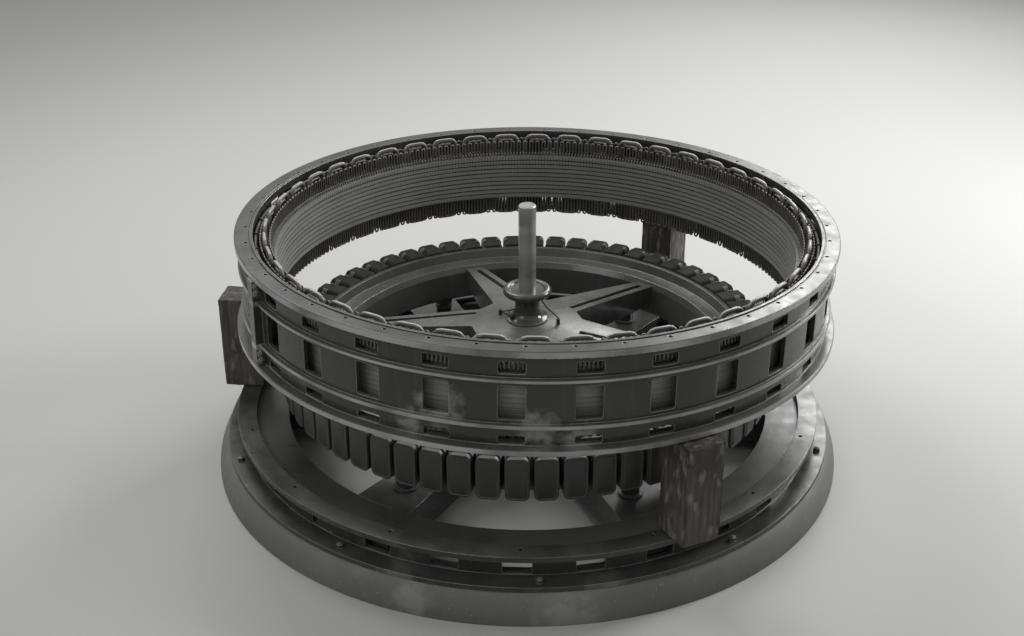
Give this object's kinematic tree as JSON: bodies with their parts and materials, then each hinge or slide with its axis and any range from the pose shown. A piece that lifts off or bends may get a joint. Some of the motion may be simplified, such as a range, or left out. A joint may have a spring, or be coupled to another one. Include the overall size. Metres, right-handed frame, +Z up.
{
  "type": "vertical waterwheel generator under assembly",
  "caption": "Vertical waterwheel generator under assembly: foundation ring, salient-pole rotor and wound stator frame raised on timber blocks.",
  "frame": {"origin": "machine axis at floor level", "axes": "+Z up along the shaft, -Y towards the viewing side, +X to the viewer's right"},
  "size_m": [4.888, 4.888, 2.014],
  "materials": {
    "timber": "rough",
    "curb_paint": "matt",
    "steel_bright": "turned",
    "core_iron": "matt",
    "winding": "varnished",
    "pole_steel": "oiled",
    "machine_paint": "satin"
  },
  "bodies": {
    "stand": {"base_bolts": "machine_paint", "base_ring": "machine_paint", "block_front": "timber", "block_left": "timber", "block_rear": "timber", "brake_jacks": "machine_paint", "clamp_fingers_lower": "core_iron", "clamp_fingers_upper": "core_iron", "core": "core_iron", "core_bars": "core_iron", "joint_bolts": "machine_paint", "lower_bearing": "machine_paint", "lower_bracket": "machine_paint", "lower_coils": "winding", "pit_cover": "machine_paint", "plinth": "curb_paint", "stator_frame_a": "machine_paint", "stator_frame_b": "machine_paint", "upper_coils": "winding"},
    "rotor": {"brake_track": "pole_steel", "collar_ring": "machine_paint", "field_coils": "winding", "hub": "machine_paint", "pole_bodies": "pole_steel", "pole_clips": "steel_bright", "pole_shoes": "pole_steel", "rim": "machine_paint", "rotor_leads": "winding", "shaft": "steel_bright", "spider": "machine_paint"}
  },
  "joints": [
    {"name": "rotor_spin", "type": "hinge", "parent": "stand", "child": "rotor", "pos_m": [0, 0, 0.7], "axis": [0, 0, 1], "continuous": true}
  ]
}
